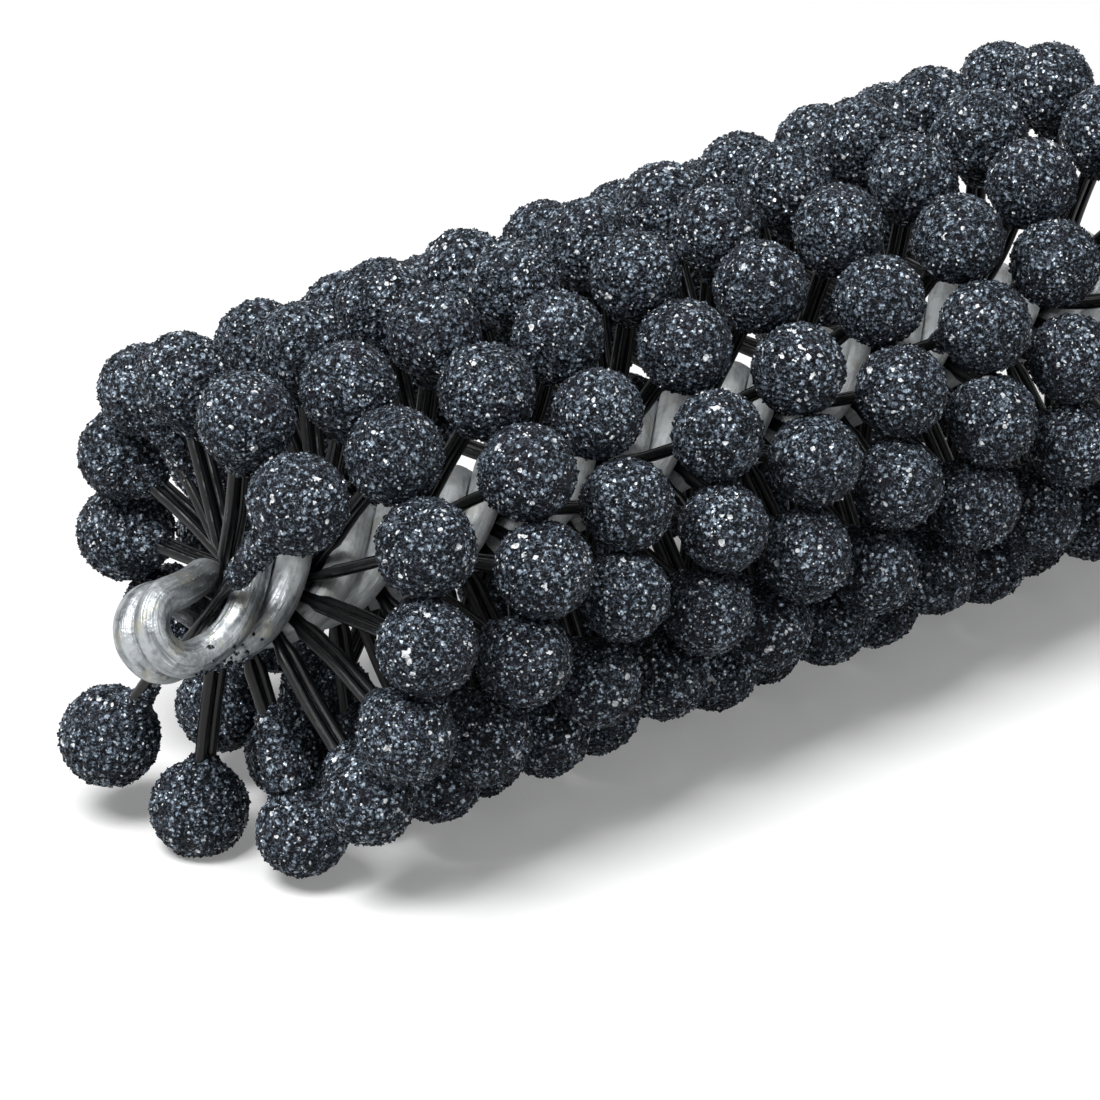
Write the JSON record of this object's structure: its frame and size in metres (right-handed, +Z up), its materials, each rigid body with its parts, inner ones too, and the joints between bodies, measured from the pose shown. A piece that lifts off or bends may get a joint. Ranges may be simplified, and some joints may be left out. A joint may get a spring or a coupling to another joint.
{
  "type": "flexible ball hone",
  "caption": "Flexible hone: abrasive balls on nylon strands fan out in a spiral from a twisted wire stem with a folded eye at the tip and a bare shank.",
  "frame": {"origin": "centre of the shank's sheared end", "axes": "+X along the stem from the shank to the eye at the tip, +Z up with the hone lying on its balls, +Y to the side"},
  "size_m": [0.203, 0.0378, 0.0378],
  "materials": {
    "galvanised_wire": "matte",
    "abrasive": "matte",
    "nylon": "satin"
  },
  "bodies": {
    "stem": {"stem_wire_a": "galvanised_wire", "stem_wire_b": "galvanised_wire"},
    "row_1": {"ball_row_1": "abrasive", "strand_row_1": "nylon"},
    "row_2": {"ball_row_2": "abrasive", "strand_row_2": "nylon"},
    "row_3": {"ball_row_3": "abrasive", "strand_row_3": "nylon"},
    "row_4": {"ball_row_4": "abrasive", "strand_row_4": "nylon"},
    "row_5": {"ball_row_5": "abrasive", "strand_row_5": "nylon"},
    "row_6": {"ball_row_6": "abrasive", "strand_row_6": "nylon"},
    "row_7": {"ball_row_7": "abrasive", "strand_row_7": "nylon"},
    "row_8": {"ball_row_8": "abrasive", "strand_row_8": "nylon"},
    "row_9": {"ball_row_9": "abrasive", "strand_row_9": "nylon"}
  },
  "joints": [
    {"name": "row_1_lag", "type": "hinge", "parent": "stem", "child": "row_1", "pos_m": [0.19084, 0, 0], "axis": [1, 0, 0], "range_deg": [-24, 24], "stiffness_Nm_per_rad": 0.2, "deforming": ["strand_row_1"]},
    {"name": "row_2_lag", "type": "hinge", "parent": "stem", "child": "row_2", "pos_m": [0.18298, 0, 0], "axis": [1, 0, 0], "range_deg": [-24, 24], "stiffness_Nm_per_rad": 0.2, "deforming": ["strand_row_2"]},
    {"name": "row_3_lag", "type": "hinge", "parent": "stem", "child": "row_3", "pos_m": [0.17512, 0, 0], "axis": [1, 0, 0], "range_deg": [-24, 24], "stiffness_Nm_per_rad": 0.2, "deforming": ["strand_row_3"]},
    {"name": "row_4_lag", "type": "hinge", "parent": "stem", "child": "row_4", "pos_m": [0.16726, 0, 0], "axis": [1, 0, 0], "range_deg": [-24, 24], "stiffness_Nm_per_rad": 0.2, "deforming": ["strand_row_4"]},
    {"name": "row_5_lag", "type": "hinge", "parent": "stem", "child": "row_5", "pos_m": [0.15941, 0, 0], "axis": [1, 0, 0], "range_deg": [-24, 24], "stiffness_Nm_per_rad": 0.2, "deforming": ["strand_row_5"]},
    {"name": "row_6_lag", "type": "hinge", "parent": "stem", "child": "row_6", "pos_m": [0.15155, 0, 0], "axis": [1, 0, 0], "range_deg": [-24, 24], "stiffness_Nm_per_rad": 0.2, "deforming": ["strand_row_6"]},
    {"name": "row_7_lag", "type": "hinge", "parent": "stem", "child": "row_7", "pos_m": [0.14369, 0, 0], "axis": [1, 0, 0], "range_deg": [-24, 24], "stiffness_Nm_per_rad": 0.2, "deforming": ["strand_row_7"]},
    {"name": "row_8_lag", "type": "hinge", "parent": "stem", "child": "row_8", "pos_m": [0.13583, 0, 0], "axis": [1, 0, 0], "range_deg": [-24, 24], "stiffness_Nm_per_rad": 0.2, "deforming": ["strand_row_8"]},
    {"name": "row_9_lag", "type": "hinge", "parent": "stem", "child": "row_9", "pos_m": [0.12797, 0, 0], "axis": [1, 0, 0], "range_deg": [-24, 24], "stiffness_Nm_per_rad": 0.2, "deforming": ["strand_row_9"]}
  ],
  "couplings": [
    {"joint": "row_2_lag", "follows": "row_1_lag", "ratio": 1},
    {"joint": "row_3_lag", "follows": "row_1_lag", "ratio": 1},
    {"joint": "row_4_lag", "follows": "row_1_lag", "ratio": 1},
    {"joint": "row_5_lag", "follows": "row_1_lag", "ratio": 1},
    {"joint": "row_6_lag", "follows": "row_1_lag", "ratio": 1},
    {"joint": "row_7_lag", "follows": "row_1_lag", "ratio": 1},
    {"joint": "row_8_lag", "follows": "row_1_lag", "ratio": 1},
    {"joint": "row_9_lag", "follows": "row_1_lag", "ratio": 1}
  ]
}
